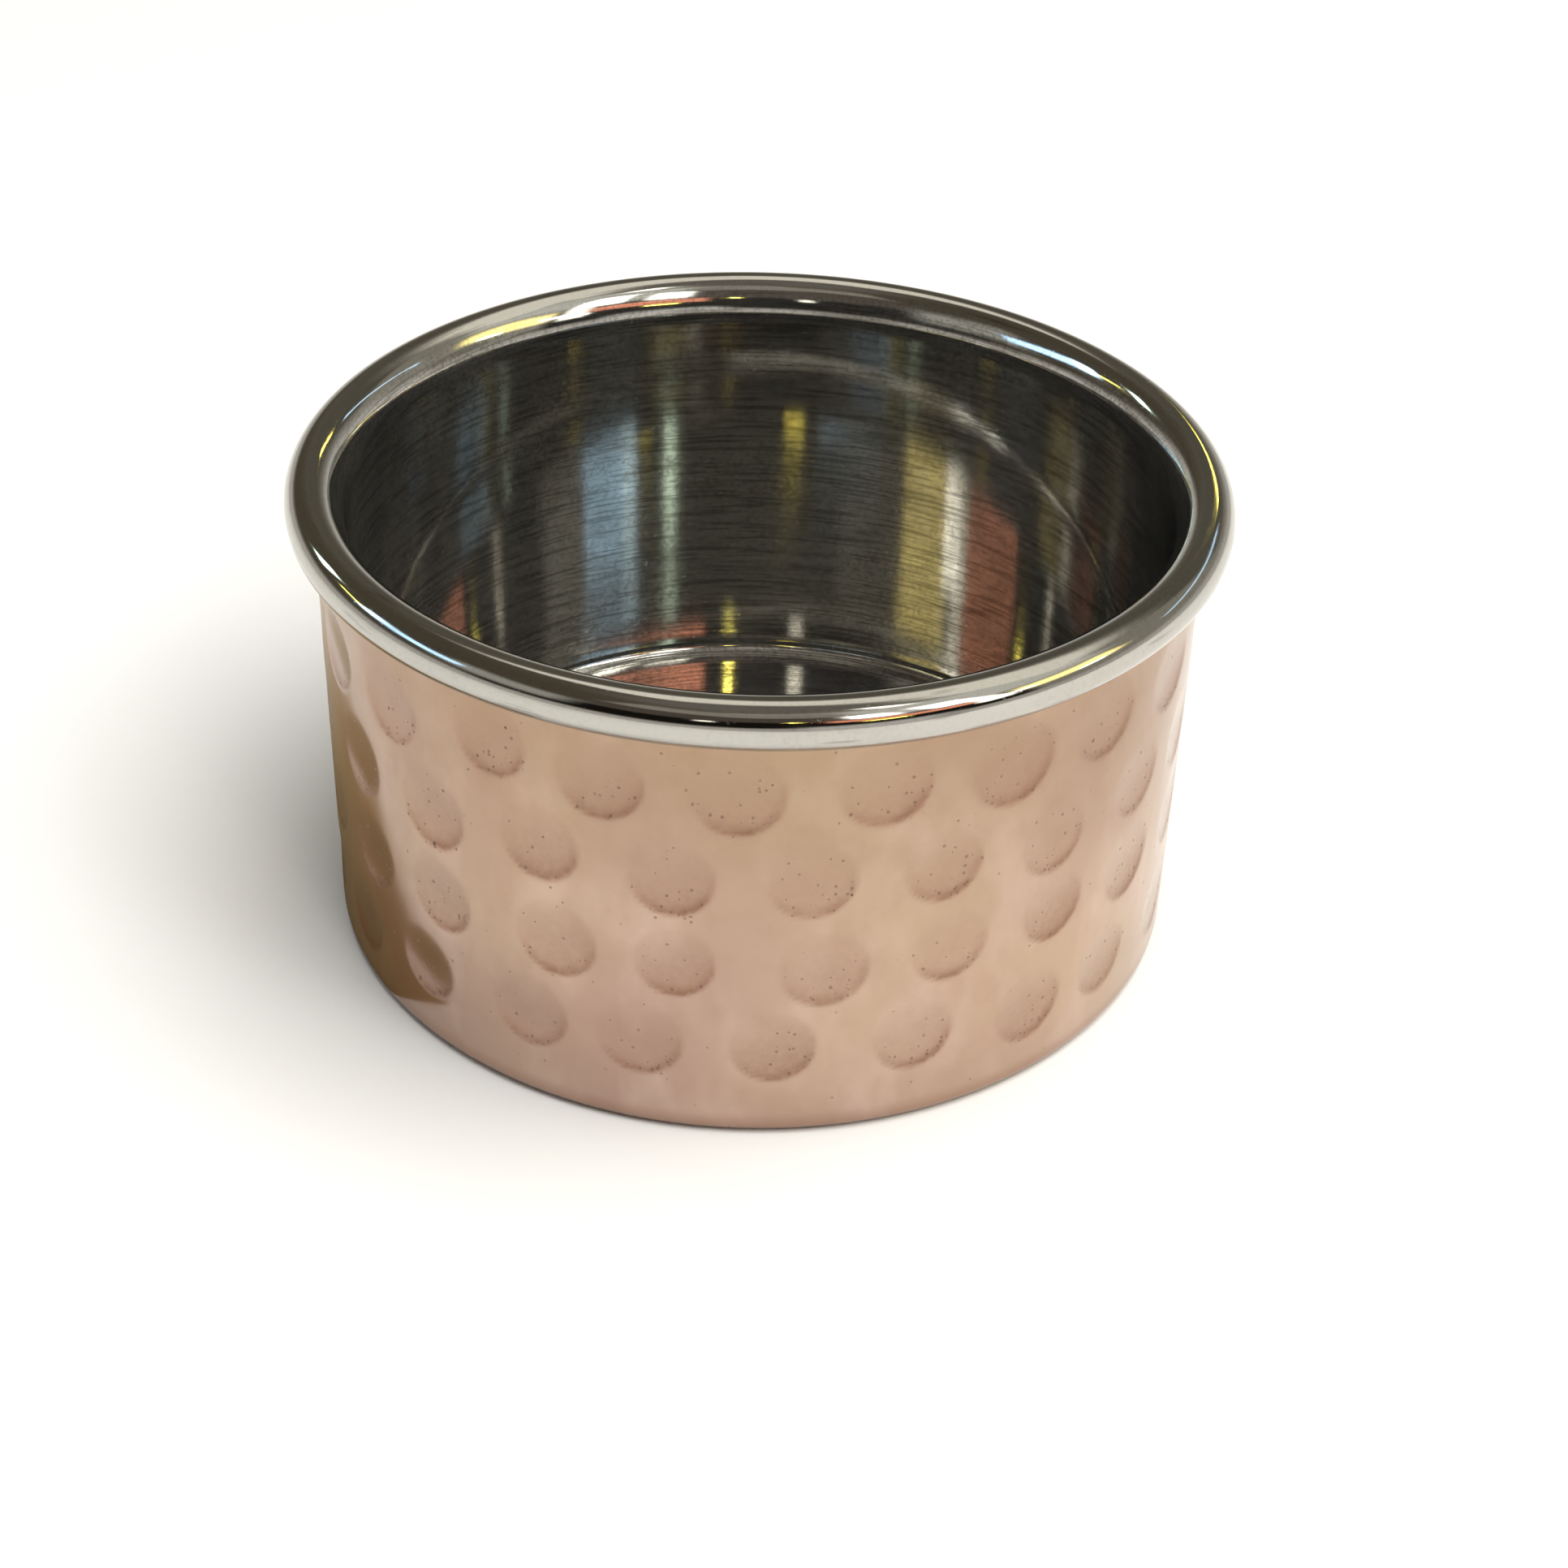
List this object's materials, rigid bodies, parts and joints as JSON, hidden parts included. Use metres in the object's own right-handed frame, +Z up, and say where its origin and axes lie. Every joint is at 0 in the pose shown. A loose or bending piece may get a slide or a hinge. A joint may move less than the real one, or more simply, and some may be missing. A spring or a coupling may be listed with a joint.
{
  "type": "serving bowl",
  "caption": "Small round double-wall serving bowl: hammered copper outside, polished steel inside, rolled steel rim and flat base.",
  "frame": {"origin": "centre of the flat base, on the surface the bowl stands on", "axes": "+Z up along the bowl's axis, out of its mouth; X and Y are level, and the bowl is round about Z"},
  "size_m": [0.085, 0.085, 0.045],
  "materials": {
    "polished_steel": "polished",
    "hammered_copper": "satin"
  },
  "bodies": {
    "root": {"steel_liner": "polished_steel", "copper_jacket": "hammered_copper"}
  },
  "joints": []
}
